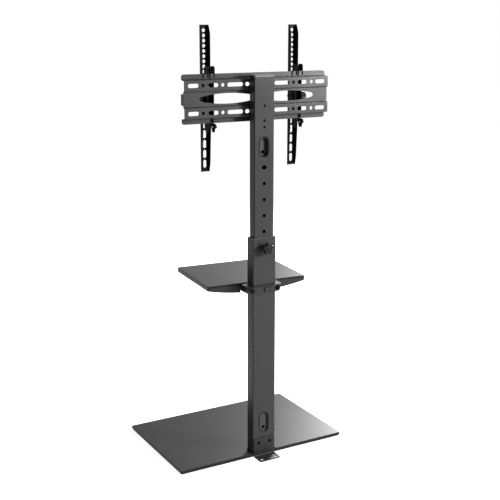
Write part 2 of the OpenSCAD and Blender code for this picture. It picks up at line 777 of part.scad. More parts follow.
module lock_nut() at_column() color("silver") difference() {
    seat = -cheek_x + 2 * gap + tab_t;
    translate([seat, tab_mid_y(), lock_screw_z()]) rotate([0, 90, 0]) cylinder(r = lock_nut_r, h = lock_nut_h, $fn = 6);
    bar_x(lock_screw_r + snug, tab_mid_y(), lock_screw_z(), seat - over, seat + lock_nut_h + over);
}

// Screen arms
module arm_outline() {
    face = pivot_y - face_reach;
    half = arm_len / 2;
    ear_y = pivot_y + lock_reach;
    translate([face, pivot_z]) polygon([
        [0, half], [arm_top_d, half], [arm_top_step_d, half - arm_top_step], [arm_d, half - arm_top_taper],
        [arm_d, arm_foot_taper - half], [arm_foot_step_d, arm_foot_step - half], [arm_foot_d, -half], [0, -half]
    ]);
    ear_half = ear_tip_share * ear_r;
    translate([0, pivot_z]) polygon([
        [face + arm_d - over, ear_root], [ear_y + ear_blend, ear_half],
        [ear_y + ear_blend, -ear_half], [face + arm_d - over, -ear_root]
    ]);
}

module arm_channel() {
    face = pivot_y - face_reach;
    depth = 2 * (arm_d + lock_reach + ear_r);
    translate([0, face + depth / 2, pivot_z - arm_len / 2 - over]) linear_extrude(arm_len + 2 * over) difference() {
        rounded(arm_w, depth, arm_bend_r);
        translate([0, arm_t]) rounded(arm_w - 2 * arm_t, depth, arm_bend_r - arm_t);
    }
}

module arm() at_column() color([0.10, 0.10, 0.11]) difference() {
    intersection() {
        arm_channel();
        union() {
            slab_x(-arm_w / 2 - over, arm_w / 2 + over) arm_outline();
            bar_x(ear_r, pivot_y + lock_reach, pivot_z, -arm_w / 2 - over, arm_w / 2 + over);
        }
    }
    face = pivot_y - face_reach;
    for (i = [0:arm_hole_count - 1])
        bar_y(arm_hole_r, 0, pivot_z + arm_len / 2 - arm_hole_inset - i * arm_hole_pitch, face - over, pivot_y);
    for (i = [0:arm_slot_count - 1]) slab_y(face - over, pivot_y)
        translate([0, pivot_z - arm_len / 2 + arm_slot_inset + i * arm_slot_pitch]) slot(arm_slot_w, arm_slot_len);
    for (y = [pivot_y, pivot_y + lock_reach])
        bar_x(bolt_r + snug, y, pivot_z, -arm_w / 2 - over, arm_w / 2 + over);
}

// side is 1 where the knob is on the +X side and -1 where it is on the -X side
module tilt_bolt(side) at_column() color("silver") mirror([(1 - side) / 2, 0, 0]) {
    y = pivot_y + lock_reach;
    bar_x(bolt_head_r, y, pivot_z, -arm_w / 2 - bolt_head_h, -arm_w / 2);
    bar_x(bolt_r, y, pivot_z, -arm_w / 2, arm_w / 2 + tilt_bolt_tip);
}

module tilt_knob(side) at_column() color([0.05, 0.05, 0.05]) mirror([(1 - side) / 2, 0, 0]) {
    x0 = arm_w / 2 + gap;
    translate([0, pivot_y + lock_reach, pivot_z]) difference() {
        union() {
            slab_x(x0, x0 + tilt_knob_neck) circle(tilt_knob_neck_r);
            slab_x(x0 + tilt_knob_neck, x0 + tilt_knob_len) lobed(tilt_knob_lobes, tilt_knob_r, tilt_knob_lobe_r);
        }
        bar_x(bolt_r + snug, 0, 0, x0 - over, arm_w / 2 + tilt_bolt_tip + gap);
    }
}

// Shelf
module turned() rotate([0, 0, -shelf_turn]) children();

module shelf_glass() at_column() color([0.18, 0.18, 0.19]) turned()
    glass_sheet(shelf_w, -shelf_rear - shelf_d, -shelf_rear, shelf_top - shelf_glass_t, shelf_top, base_corner_r,
        glass_bevel);

module shelf_pads() at_column() color("gray") turned()
    for (sx = [-1, 1], y = [-shelf_rear - pad_inset, pad_inset - shelf_rear - shelf_d])
        bar_z(pad_r, sx * (shelf_w / 2 - pad_inset), y, tray_top, tray_top + pad_t);

module shelf_bolt_holes(r) for (sx = [-1, 1], y = shelf_bolt_reach)
    bar_z(r, sx * (bearer_out - bearer_flange / 2), -shelf_rear - y, tray_bottom - over, tray_top + over);

module shelf_tray() at_column() color([0.16, 0.16, 0.17]) difference() {
    turned() difference() {
        tray_mid = -shelf_rear - shelf_d / 2;
        skirt_half = shelf_w / 2 - base_corner_r;
        sag_r = (pow(shelf_w / 2, 2) + pow(skirt_sag, 2)) / (2 * skirt_sag);
        union() {
            translate([0, tray_mid, skirt_low]) linear_extrude(tray_top - skirt_low)
                rounded(shelf_w, shelf_d, base_corner_r);
            slab_y(-shelf_rear - skirt_t, -shelf_rear) translate([0, skirt_low]) intersection() {
                translate([0, sag_r - skirt_sag]) circle(sag_r, $fn = 360);
                translate([-skirt_half, -skirt_sag - over])
                    square([2 * skirt_half, skirt_sag + over + skirt_side / 2]);
            }
        }
        translate([0, tray_mid, skirt_low - over]) linear_extrude(tray_bottom - skirt_low + over)
            rounded(shelf_w - 2 * skirt_t, shelf_d - 2 * skirt_t, base_corner_r - skirt_t);
    }
    // Recess in the rear skirt, square to the bearers that pass through it
    translate([-recess_half, -shelf_rear - recess_run, skirt_low - skirt_sag - over])
        cube([2 * recess_half, 2 * recess_run, tray_bottom - skirt_low + skirt_sag + over]);
    shelf_bolt_holes(shelf_bolt_r + snug);
}

module shelf_collar() at_column() color([0.15, 0.15, 0.16]) difference() {
    union() {
        // Collar plate round the column
        translate([0, collar_mid, collar_top - collar_t]) linear_extrude(collar_t)
            rounded(collar_w, collar_rear - collar_front, collar_corner_r);
        translate([-collar_w / 2, collar_front, collar_top - collar_t])
            cube([collar_w, collar_mid - collar_front, collar_t]);
        // Wall in front of the column
        translate([-bearer_out, collar_front, collar_low])
            cube([2 * bearer_out, collar_t, collar_top - collar_low - collar_t / 2]);
        // Bearers under the tray
        for (s = [-1, 1]) {
            translate([s * (bearer_out - collar_t / 2), 0, 0]) slab_x(-collar_t / 2, collar_t / 2) polygon([
                [lower_d / 2, collar_low], [lower_d / 2, collar_top - collar_t / 2],
                [collar_front, collar_top - collar_t / 2], [collar_front, tray_bottom],
                [-shelf_rear - bearer_len, tray_bottom], [-shelf_rear - bearer_len, tray_bottom - 2 * collar_t],
                [collar_front, collar_low]
            ]);
            translate([s * (bearer_out - bearer_flange / 2), -shelf_rear - bearer_len / 2, tray_bottom - collar_t / 2])
                cube([bearer_flange, bearer_len, collar_t], center = true);
        }
    }
    translate([0, 0, collar_low - over]) linear_extrude(collar_h + 2 * over)
        rounded(lower_w + 2 * gap, lower_d + 2 * gap, tube_r + gap);
    for (s = [-1, 1]) {
        bar_y(clamp_bolt_r + snug, s * clamp_bolt_x, clamp_bolt_z, collar_front - over, 0);
        for (y = shelf_bolt_reach) translate([s * (bearer_out - bearer_flange / 2), -shelf_rear - y, 0])
            translate([0, 0, tray_bottom - collar_t - over]) linear_extrude(collar_t + 2 * over)
                slot(2 * (shelf_bolt_r + snug), shelf_slot_len);
    }
}

module shelf_clamp() at_column() color([0.14, 0.14, 0.15]) difference() {
    union() {
        translate([-clamp_w / 2, clamp_rear - clamp_t, collar_low])
            cube([clamp_w, clamp_t, collar_h - collar_t]);
        translate([clamp_block_x, clamp_rear + clamp_block_t / 2 - clamp_t / 2, clamp_bolt_z])
            cube([clamp_block_w, clamp_block_t + clamp_t, clamp_block_h], center = true);
    }
    for (s = [-1, 1])
        bar_y(clamp_bolt_r + snug, s * clamp_bolt_x, clamp_bolt_z, clamp_rear - clamp_t - over, clamp_rear + over);
}

module clamp_bolts() at_column() color("gray") for (s = [-1, 1]) {
    bar_y(clamp_head_r, s * clamp_bolt_x, clamp_bolt_z, clamp_rear, clamp_rear + clamp_head_h);
    bar_y(clamp_bolt_r, s * clamp_bolt_x, clamp_bolt_z, collar_front - nut_h, clamp_rear);
}

module clamp_nuts() at_column() color("silver") for (s = [-1, 1]) difference() {
    translate([s * clamp_bolt_x, collar_front - nut_h, clamp_bolt_z]) rotate([-90, 0, 0])
        cylinder(r = nut_r, h = nut_h, $fn = 6);
    bar_y(clamp_bolt_r + snug, s * clamp_bolt_x, clamp_bolt_z, collar_front - nut_h - over, collar_front + over);
}

module shelf_bolts() at_column() color("silver") for (sx = [-1, 1], y = shelf_bolt_reach) {
    x = sx * (bearer_out - bearer_flange / 2);
    seat = tray_bottom - collar_t;
    bar_z(shelf_bolt_head_r, x, -shelf_rear - y, seat - shelf_bolt_head_h, seat);
    bar_z(shelf_bolt_r, x, -shelf_rear - y, seat, tray_top);
}

module left() translate([left_x, 0, 0]) children();
module right() translate([right_x, 0, 0]) children();

base_feet();
base_plate();
base_glass();
foot_plate();
foot_screws();
lower_column();
column_sleeve();
lower_port_grommet();
floor_bracket();
bracket_screws();
bracket_nuts();
knob_bush();
height_knob();
knob_stud();
upper_column();
slide_plug();
upper_port_grommet();
column_cap();
mount_backing();
wall_plate();
plate_bolts();
plate_nuts();
shelf_glass();
shelf_pads();
shelf_tray();
shelf_collar();
shelf_clamp();
clamp_bolts();
clamp_nuts();
shelf_bolts();
left() tilt_bracket();  // left_bracket
left() pivot_bolt();  // left_pivot_bolt
left() lock_nut();  // left_lock_nut
left() lock_tab();  // left_lock_tab
left() lock_screw();  // left_lock_screw
left() arm();  // left_arm
left() tilt_bolt(1);  // left_tilt_bolt
left() tilt_knob(1);  // left_tilt_knob
right() tilt_bracket();  // right_bracket
right() pivot_bolt();  // right_pivot_bolt
right() lock_nut();  // right_lock_nut
right() lock_tab();  // right_lock_tab
right() lock_screw();  // right_lock_screw
right() arm();  // right_arm
right() tilt_bolt(-1);  // right_tilt_bolt
right() tilt_knob(-1);  // right_tilt_knob
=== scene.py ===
"""Looks of a television stand: glass base, steel column, mounting plate, two screen arms and a glass shelf."""

import json
import math

import bmesh
import bpy
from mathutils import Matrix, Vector

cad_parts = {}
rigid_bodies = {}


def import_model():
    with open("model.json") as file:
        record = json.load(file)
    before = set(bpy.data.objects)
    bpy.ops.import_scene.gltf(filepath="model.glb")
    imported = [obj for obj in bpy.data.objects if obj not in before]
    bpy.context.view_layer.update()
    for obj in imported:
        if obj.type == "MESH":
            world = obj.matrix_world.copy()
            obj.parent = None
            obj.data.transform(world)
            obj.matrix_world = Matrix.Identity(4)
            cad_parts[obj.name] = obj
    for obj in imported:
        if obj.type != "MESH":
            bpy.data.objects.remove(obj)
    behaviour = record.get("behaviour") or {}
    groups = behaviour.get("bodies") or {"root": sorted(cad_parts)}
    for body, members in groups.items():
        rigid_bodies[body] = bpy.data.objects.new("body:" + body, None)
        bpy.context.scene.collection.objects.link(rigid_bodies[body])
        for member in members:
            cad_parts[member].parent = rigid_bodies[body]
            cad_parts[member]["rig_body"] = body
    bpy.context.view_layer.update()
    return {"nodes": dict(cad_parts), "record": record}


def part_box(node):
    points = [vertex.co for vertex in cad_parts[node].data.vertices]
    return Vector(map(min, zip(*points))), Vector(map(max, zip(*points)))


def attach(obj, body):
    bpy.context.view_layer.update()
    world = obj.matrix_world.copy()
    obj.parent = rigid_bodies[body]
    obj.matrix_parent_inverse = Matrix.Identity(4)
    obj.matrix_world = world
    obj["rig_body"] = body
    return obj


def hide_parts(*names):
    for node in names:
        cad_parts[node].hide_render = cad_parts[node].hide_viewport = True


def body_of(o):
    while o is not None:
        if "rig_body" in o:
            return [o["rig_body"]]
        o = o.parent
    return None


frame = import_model()
MM = 0.001

# Camera, fitted to the photograph: metres, radians, and the lens and sensor in millimetres
CAMERA_PLACE = Vector((1.4683, 2.6750, 1.3881))
CAMERA_YAW = math.radians(29.541)
CAMERA_PITCH = math.radians(13.555)
CAMERA_LENS = 69.09
CAMERA_SENSOR = 36


def make_camera():
    """The photograph's view, which looks forward and down at the stand's back."""
    data = bpy.data.cameras.new("camera")
    data.lens = CAMERA_LENS
    data.sensor_width = CAMERA_SENSOR
    camera = bpy.data.objects.new("camera", data)
    forward = Vector((
        -math.sin(CAMERA_YAW) * math.cos(CAMERA_PITCH),
        -math.cos(CAMERA_YAW) * math.cos(CAMERA_PITCH),
        -math.sin(CAMERA_PITCH),
    ))
    camera.location = CAMERA_PLACE
    camera.rotation_euler = forward.to_track_quat("-Z", "Y").to_euler()
    bpy.context.scene.collection.objects.link(camera)
    bpy.context.scene.camera = camera


class Tree:
    """A shader's nodes, with short calls that add a node and link its inputs."""

    def __init__(self, owner):
        owner.use_nodes = True
        self.tree = owner.node_tree
        self.tree.nodes.clear()

    def add(self, kind, settings=None, **inputs):
        """A node with its settings, and its inputs by name, each a value or another node's output."""
        node = self.tree.nodes.new(kind)
        for name, value in (settings or {}).items():
            setattr(node, name, value)
        for name, value in inputs.items():
            self.put(node, name.replace("_", " "), value)
        return node

    def put(self, node, name, value):
        """Sets an input, named or numbered, to a value or links it to an output."""
        socket = node.inputs[int(name)] if name.isdigit() else node.inputs[name]
        if isinstance(value, bpy.types.NodeSocket):
            self.tree.links.new(value, socket)
        else:
            socket.default_value = value

    def math(self, operation, *values):
        """The result of a sum on values or outputs."""
        node = self.tree.nodes.new("ShaderNodeMath")
        node.operation = operation
        for i, value in enumerate(values):
            self.put(node, str(i), value)
        return node.outputs[0]

    def mix(self, factor, a, b):
        """A mixed colour."""
        node = self.tree.nodes.new("ShaderNodeMix")
        node.data_type = "RGBA"
        self.put(node, "0", factor)
        self.put(node, "6", a)
        self.put(node, "7", b)
        return node.outputs[2]

    def noise(self, place, scale, detail=3, roughness=0.55):
        """A noise from 0 to 1 with about that many features in a metre."""
        return self.add("ShaderNodeTexNoise", None, Vector=place, Scale=scale, Detail=detail,
                        Roughness=roughness).outputs["Fac"]

    def spread(self, value, low, high, to_low=0.0, to_high=1.0):
        """A value that runs from to_low to to_high while the first one runs from low to high."""
        node = self.tree.nodes.new("ShaderNodeMapRange")
        for i, v in enumerate((value, low, high, to_low, to_high)):
            self.put(node, str(i), v)
        return node.outputs[0]


def background_rays(tree):
    """1 for the rays that see the plain background: camera, mirror and see-through rays."""
    path = tree.add("ShaderNodeLightPath")
    seen = tree.math("MAXIMUM", path.outputs["Is Camera Ray"], path.outputs["Is Glossy Ray"])
    return tree.math("MAXIMUM", seen, path.outputs["Is Transmission Ray"])


# Light: the world fills, a tall soft box behind on the right is the key, and a panel in front gleams in the glass.
# The floor's own glow brings it up to the background's white
WORLD_FILL = (0.22, 0.22, 0.225, 1)
WHITE = (1, 1, 1, 1)
FLOOR_SIZE = 60
FLOOR_COLOUR = (0.60, 0.60, 0.60, 1)
FLOOR_LIFT = 0.88
# Each lamp's compass turn from +Y towards -X in degrees, distance and height of its middle, width and height,
# the height on the column that it aims at, and the brightness of its face
LAMPS = {
    "key": {"turn": 41, "away": 3.2, "height": 1.75, "size": (0.6, 1.1), "aim": 0.9, "bright": 128},
    "panel": {"turn": 130, "away": 3.3, "height": 1.75, "size": (0.8, 0.5), "aim": 0.5, "bright": 195},
}


def make_world():
    """A plain fill on the object, and white behind it."""
    world = bpy.data.worlds.new("world")
    bpy.context.scene.world = world
    tree = Tree(world)
    fill = tree.add("ShaderNodeBackground", None, Color=WORLD_FILL)
    white = tree.add("ShaderNodeBackground", None, Color=WHITE)
    mix = tree.add("ShaderNodeMixShader", None, Fac=background_rays(tree))
    tree.put(mix, "1", fill.outputs[0])
    tree.put(mix, "2", white.outputs[0])
    tree.add("ShaderNodeOutputWorld", None, Surface=mix.outputs[0])


def make_floor():
    """A wide matt floor that is white to the camera and still takes the object's shadow."""
    mesh = bpy.data.meshes.new("floor")
    half = FLOOR_SIZE / 2
    mesh.from_pydata([(-half, -half, 0), (half, -half, 0), (half, half, 0), (-half, half, 0)], [], [(0, 1, 2, 3)])
    floor = bpy.data.objects.new("floor", mesh)
    bpy.context.scene.collection.objects.link(floor)
    material = bpy.data.materials.new("floor")
    tree = Tree(material)
    matt = tree.add("ShaderNodeBsdfDiffuse", None, Color=FLOOR_COLOUR)
    lift = tree.add("ShaderNodeEmission", None, Color=WHITE,
                    Strength=tree.math("MULTIPLY", background_rays(tree), FLOOR_LIFT))
    both = tree.add("ShaderNodeAddShader")
    tree.put(both, "0", matt.outputs[0])
    tree.put(both, "1", lift.outputs[0])
    tree.add("ShaderNodeOutputMaterial", None, Surface=both.outputs[0])
    mesh.materials.append(material)


def make_lamp(name, turn, away, height, size, aim, bright):
    """A rectangular soft light."""
    data = bpy.data.lights.new(name, "AREA")
    data.shape = "RECTANGLE"
    data.size, data.size_y = size
    data.energy = math.pi * size[0] * size[1]
    tree = Tree(data)
    glow = tree.add("ShaderNodeEmission", None, Strength=bright)
    tree.add("ShaderNodeOutputLight", None, Surface=glow.outputs[0])
    light = bpy.data.objects.new(name, data)
    angle = math.radians(turn)
    light.location = (-away * math.sin(angle), away * math.cos(angle), height)
    light.rotation_euler = (Vector((0, 0, aim)) - light.location).to_track_quat("-Z", "Y").to_euler()
    light.visible_camera = False
    bpy.context.scene.collection.objects.link(light)


# Painted shade in grooves and inner corners: how near a wall has to be to paint shade into a groove, the openness at
# which the painted shade is full and at which it ends, and how much of its colour a groove keeps under it
PAINTED_SHADE_REACH = 5 * MM
PAINTED_SHADE_SHUT = 0.35
PAINTED_SHADE_OPEN = 0.85
PAINTED_SHADE_KEEPS = 0.12
# Features in a metre: paint clouds, specks and orange peel, dust and smears on glass, clouds and grain in plastic,
# and mottle and turning marks on steel
PAINT_CLOUDS, PAINT_SPECKS, PAINT_PEEL = 9, 900, 420
GLASS_DUST, GLASS_SMEARS = 1400, 5
PLASTIC_CLOUDS, PLASTIC_GRAIN = 60, 1300
STEEL_MOTTLE, STEEL_MARKS = 240, 2600
# Strength of the bumps that the peel, grain and marks make
PEEL_BUMP, GRAIN_BUMP, MARKS_BUMP = 0.10, 0.12, 0.08
# How many times lighter the rubbed edges of paint are
RUBBED = 1.7
# Rays that a rounded normal or a groove's painted shade takes
EDGE_RAYS, PAINTED_SHADE_RAYS = 4, 8


def edge_wear(tree, radius):
    """1 on sharp outer edges and 0 on flat faces."""
    soft = tree.add("ShaderNodeBevel", {"samples": EDGE_RAYS}, Radius=radius).outputs[0]
    true = tree.add("ShaderNodeNewGeometry").outputs["Normal"]
    turn = tree.add("ShaderNodeVectorMath", {"operation": "DOT_PRODUCT"})
    tree.put(turn, "0", soft)
    tree.put(turn, "1", true)
    return tree.spread(turn.outputs["Value"], 0.98, 0.75)


def in_grooves(tree, tone, colour):
    """The tone, with painted shade that darkens it in narrow grooves and inner corners."""
    open_air = tree.add("ShaderNodeAmbientOcclusion", {"samples": PAINTED_SHADE_RAYS}, Distance=PAINTED_SHADE_REACH).outputs["AO"]
    shade = [c * PAINTED_SHADE_KEEPS for c in colour] + [1]
    return tree.mix(tree.spread(open_air, PAINTED_SHADE_SHUT, PAINTED_SHADE_OPEN), shade, tone)


def powder_coat(name, colour, roughness, specular):
    """Baked powder paint: a fine orange peel, faint clouds in tone and gloss, edges rubbed a little lighter, and
    painted shade in grooves and inner corners.
    """
    material = bpy.data.materials.new(name)
    tree = Tree(material)
    place = tree.add("ShaderNodeTexCoord").outputs["Object"]
    clouds = tree.noise(place, PAINT_CLOUDS, 4)
    specks = tree.noise(place, PAINT_SPECKS, 2)
    peel = tree.noise(place, PAINT_PEEL, 3)
    dark = [c * 0.90 for c in colour] + [1]
    light = [c * 1.10 for c in colour] + [1]
    worn = [c * RUBBED for c in colour] + [1]
    tone = tree.mix(clouds, dark, light)
    tone = tree.mix(tree.spread(specks, 0.35, 0.65, 0.0, 0.25), tone, worn)
    tone = tree.mix(tree.math("MULTIPLY", edge_wear(tree, 0.8 * MM), 0.6), tone, worn)
    # Painted shade: the tone is darkened in grooves and inner corners, where shade falls
    tone = in_grooves(tree, tone, colour)
    gloss = tree.math("ADD", tree.spread(clouds, 0.3, 0.7, roughness - 0.04, roughness + 0.04),
                      tree.spread(specks, 0.3, 0.7, -0.03, 0.03))
    round_edge = tree.add("ShaderNodeBevel", {"samples": EDGE_RAYS}, Radius=0.5 * MM).outputs[0]
    bump = tree.add("ShaderNodeBump", None, Strength=PEEL_BUMP, Distance=0.2 * MM, Height=peel, Normal=round_edge)
    shader = tree.add("ShaderNodeBsdfPrincipled", None, Base_Color=tone, Roughness=gloss, Normal=bump.outputs[0])
    shader.inputs["Specular IOR Level"].default_value = specular
    tree.add("ShaderNodeOutputMaterial", None, Surface=shader.outputs[0])
    return material


def dark_glass(name, colour, ior, roughness):
    """Back-painted satin glass with the faintest dust and smears."""
    material = bpy.data.materials.new(name)
    tree = Tree(material)
    place = tree.add("ShaderNodeTexCoord").outputs["Object"]
    dust = tree.noise(place, GLASS_DUST, 2)
    smears = tree.noise(place, GLASS_SMEARS, 5, 0.65)
    lighter = [c + 0.02 for c in colour] + [1]
    tone = tree.mix(tree.spread(dust, 0.62, 0.75, 0.0, 0.5), list(colour) + [1], lighter)
    gloss = tree.spread(smears, 0.3, 0.7, roughness * 0.95, roughness * 1.05)
    round_edge = tree.add("ShaderNodeBevel", {"samples": EDGE_RAYS}, Radius=0.6 * MM).outputs[0]
    shader = tree.add("ShaderNodeBsdfPrincipled", None, Base_Color=tone, Roughness=gloss, Normal=round_edge)
    shader.inputs["IOR"].default_value = ior
    tree.add("ShaderNodeOutputMaterial", None, Surface=shader.outputs[0])
    return material


def moulded_plastic(name, colour, roughness, specular=0.5):
    """Moulded plastic or rubber with a light leather grain, and painted shade in grooves and inner corners."""
    material = bpy.data.materials.new(name)
    tree = Tree(material)
    place = tree.add("ShaderNodeTexCoord").outputs["Object"]
    grain = tree.add("ShaderNodeTexVoronoi", None, Vector=place, Scale=PLASTIC_GRAIN).outputs["Distance"]
    clouds = tree.noise(place, PLASTIC_CLOUDS, 3)
    dark = [c * 0.85 for c in colour] + [1]
    light = [c * 1.2 for c in colour] + [1]
    worn = [c * 2.5 + 0.01 for c in colour] + [1]
    tone = tree.mix(tree.math("MULTIPLY", edge_wear(tree, 0.6 * MM), 0.5), tree.mix(clouds, dark, light), worn)
    # Painted shade: the tone is darkened in grooves and inner corners, where shade falls
    tone = in_grooves(tree, tone, colour)
    gloss = tree.spread(clouds, 0.3, 0.7, roughness - 0.05, roughness + 0.05)
    round_edge = tree.add("ShaderNodeBevel", {"samples": EDGE_RAYS}, Radius=0.4 * MM).outputs[0]
    bump = tree.add("ShaderNodeBump", None, Strength=GRAIN_BUMP, Distance=0.15 * MM, Height=grain, Normal=round_edge)
    shader = tree.add("ShaderNodeBsdfPrincipled", None, Base_Color=tone, Roughness=gloss, Normal=bump.outputs[0])
    shader.inputs["Specular IOR Level"].default_value = specular
    tree.add("ShaderNodeOutputMaterial", None, Surface=shader.outputs[0])
    return material


def plated_steel(name, colour, roughness):
    """Plated or blackened steel with fine turning marks and a mottled sheen."""
    material = bpy.data.materials.new(name)
    tree = Tree(material)
    place = tree.add("ShaderNodeTexCoord").outputs["Object"]
    mottle = tree.noise(place, STEEL_MOTTLE, 3)
    marks = tree.noise(place, STEEL_MARKS, 2)
    tone = tree.mix(mottle, [c * 0.8 for c in colour] + [1], [min(c * 1.15, 1) for c in colour] + [1])
    gloss = tree.spread(marks, 0.3, 0.7, roughness - 0.08, roughness + 0.08)
    bump = tree.add("ShaderNodeBump", None, Strength=MARKS_BUMP, Distance=0.05 * MM, Height=marks)
    shader = tree.add("ShaderNodeBsdfPrincipled", None, Base_Color=tone, Roughness=gloss, Normal=bump.outputs[0])
    shader.inputs["Metallic"].default_value = 1
    tree.add("ShaderNodeOutputMaterial", None, Surface=shader.outputs[0])
    return material


# Each slot's material: its colour and roughness, with a specular level for paint and some plastics, and for glass
# its refraction before its roughness
MATERIALS = {
    "column_paint": powder_coat("column_paint", (0.024, 0.024, 0.0246), 0.32, 0.10),
    "plate_paint": powder_coat("plate_paint", (0.022, 0.022, 0.0225), 0.28, 0.20),
    "arm_paint": powder_coat("arm_paint", (0.004, 0.004, 0.0042), 0.38, 0.03),
    "dark_steel": powder_coat("dark_steel", (0.008, 0.008, 0.0083), 0.42, 0.2),
    "dark_glass": dark_glass("dark_glass", (0.006, 0.006, 0.0064), 1.24, 0.41),
    "black_plastic": moulded_plastic("black_plastic", (0.014, 0.014, 0.014), 0.5),
    "port_plastic": moulded_plastic("port_plastic", (0.036, 0.036, 0.037), 0.42, 0.1),
    "knob_plastic": moulded_plastic("knob_plastic", (0.004, 0.004, 0.004), 0.34, 0.12),
    "foot_rubber": moulded_plastic("foot_rubber", (0.012, 0.012, 0.012), 0.75),
    "clear_pad": moulded_plastic("clear_pad", (0.35, 0.35, 0.35), 0.3),
    "zinc_steel": plated_steel("zinc_steel", (0.55, 0.55, 0.56), 0.35),
    "black_bolt": plated_steel("black_bolt", (0.006, 0.006, 0.0062), 0.34),
}
SLOTS = {part["node"]: part["material_slot"] for part in frame["record"]["subparts"]}


def dress_nodes():
    """Gives each CAD node the material of its slot."""
    for node, slot in SLOTS.items():
        mesh = frame["nodes"][node].data
        mesh.materials.clear()
        mesh.materials.append(MATERIALS[slot])


# Pieces that stand for CAD nodes: the angle from which an edge is sharp, how near points are joined, the angle up to
# which faces are one, and the steps across a rounded edge
SHARP_ANGLE = math.radians(40)
WELD_DISTANCE = 0.002 * MM
FLAT_ANGLE = math.radians(0.5)
BEVEL_STEPS = 2
# Width of the rounded edge of each node that has one, in millimetres
SOFT_EDGES = {
    "wall_plate": 0.5, "floor_bracket": 0.6, "base_plate": 0.5, "column_cap": 0.4,
    "left_arm": 0.4, "right_arm": 0.4, "left_bracket": 0.4, "right_bracket": 0.4,
    "left_lock_tab": 0.3, "right_lock_tab": 0.3,
    "shelf_tray": 0.5, "shelf_collar": 0.5, "shelf_clamp": 0.5,
    "lower_port_grommet": 0.15, "upper_port_grommet": 0.15,
    "lower_column": 0.3, "upper_column": 0.3,
}
# Nodes with edges too close together for their full width
CROWDED = {"shelf_tray", "shelf_collar"}
# Cable pockets that the photograph shows shallower, and how far their floor comes up in millimetres
SHALLOWER = {"lower_port_grommet": 6}
# Nodes with round holes that get wider. In millimetres: more than the wall's thickness, more than half a hole's
# width, and less than the distance between two holes; then how many times wider a hole gets
HOLED = {"upper_column"}
REAR_WALL = 4
HOLE_REACH = 9
HOLE_GAP = 4
WIDER_HOLES = 1.25
# How much the width and height of a round hole may differ
ROUND_WITHIN = 0.05
# Points round each turned piece
STEPS = 144
# Small bolts, in millimetres: radius and height of the head, its socket, the shank and the chamfer at its end
BOLT_HEAD, BOLT_HEIGHT, BOLT_SOCKET, BOLT_SHANK, BOLT_CHAMFER = 5, 3, 2.3, 3, 0.5


def make_piece(node, form):
    """Turns a finished bmesh into the piece that stands for a node."""
    bmesh.ops.recalc_face_normals(form, faces=form.faces[:])
    mesh = bpy.data.meshes.new(node + "_form")
    form.to_mesh(mesh)
    form.free()
    mesh.shade_smooth()
    mesh.set_sharp_from_angle(angle=SHARP_ANGLE)
    mesh.materials.append(MATERIALS[SLOTS[node]])
    piece = bpy.data.objects.new(node + "_form", mesh)
    bpy.context.scene.collection.objects.link(piece)
    even = piece.modifiers.new("even_shading", "WEIGHTED_NORMAL")
    even.keep_sharp = True
    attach(piece, body_of(frame["nodes"][node])[0])
    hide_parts(node)


def widen_holes(node, form):
    """Widens the round holes in the middle of the node's rear wall to the size that the photograph shows."""
    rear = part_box(node)[1].y - REAR_WALL * MM
    near = sorted((v for v in form.verts if v.co.y > rear and abs(v.co.x) < HOLE_REACH * MM), key=lambda v: v.co.z)
    groups = [[near[0]]]
    for vert in near[1:]:
        if vert.co.z - groups[-1][-1].co.z > HOLE_GAP * MM:
            groups.append([])
        groups[-1].append(vert)
    for group in groups:
        across = [v.co.x for v in group]
        height = group[-1].co.z - group[0].co.z
        width = max(across) - min(across)
        if height > 0 and abs(width / height - 1) < ROUND_WITHIN:
            middle = (group[-1].co.z + group[0].co.z) / 2
            for vert in group:
                vert.co.x *= WIDER_HOLES
                vert.co.z = middle + (vert.co.z - middle) * WIDER_HOLES


def make_soft(node, width):
    """A copy of a node with its sharp edges rounded, as on pressed and cut sheet."""
    form = bmesh.new()
    form.from_mesh(frame["nodes"][node].data)
    if node in SHALLOWER:
        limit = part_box(node)[1].y - SHALLOWER[node] * MM
        for vert in form.verts:
            if vert.co.y < limit:
                vert.co.y += SHALLOWER[node] * MM
    if node in HOLED:
        widen_holes(node, form)
    bmesh.ops.remove_doubles(form, verts=form.verts[:], dist=WELD_DISTANCE)
    bmesh.ops.dissolve_limit(form, angle_limit=FLAT_ANGLE, verts=form.verts[:], edges=form.edges[:])
    sharp = [e for e in form.edges if len(e.link_faces) == 2 and e.calc_face_angle() > SHARP_ANGLE]
    bmesh.ops.bevel(form, geom=sharp, offset=width * MM, offset_type="OFFSET", segments=BEVEL_STEPS, profile=0.5,
                    affect="EDGES", clamp_overlap=node in CROWDED)
    make_piece(node, form)


def round_rim(radius):
    """The same radius all round."""
    return lambda turn: radius


def lobed_rim(radius, hollow, lobes):
    """Round lobes, the first one at the top, with hollows between them."""
    return lambda turn: hollow + (radius - hollow) * (0.5 + 0.5 * math.cos(lobes * turn)) ** 0.75


def hex_rim(radius):
    """A hexagon with its corners at that radius."""
    side = math.pi / 3
    return lambda turn: radius * math.cos(side / 2) / math.cos(turn % side - side / 2)


def ridged_rim(radius, depth, ridges):
    """Fine ridges, as on a knurled head."""
    return lambda turn: radius - depth * (0.5 - 0.5 * math.cos(ridges * turn))


def add_turned(form, place, along, rings):
    """Adds a closed turned form. Each ring is its distance along the axis and its rim, in millimetres."""
    along = Vector(along)
    top = Vector((0, 0, 1))
    side = top.cross(along)
    loops = []
    for distance, rim in rings:
        turns = [2 * math.pi * i / STEPS for i in range(STEPS)]
        loops.append([
            form.verts.new(place + (along * distance + (top * math.cos(t) + side * math.sin(t)) * rim(t)) * MM)
            for t in turns
        ])
    for low, high in zip(loops, loops[1:]):
        for i in range(STEPS):
            form.faces.new((low[i - 1], low[i], high[i], high[i - 1]))
    for loop, ring in ((loops[0], rings[0]), (loops[-1], rings[-1])):
        middle = form.verts.new(place + along * ring[0] * MM)
        for i in range(STEPS):
            form.faces.new((loop[i - 1], loop[i], middle))


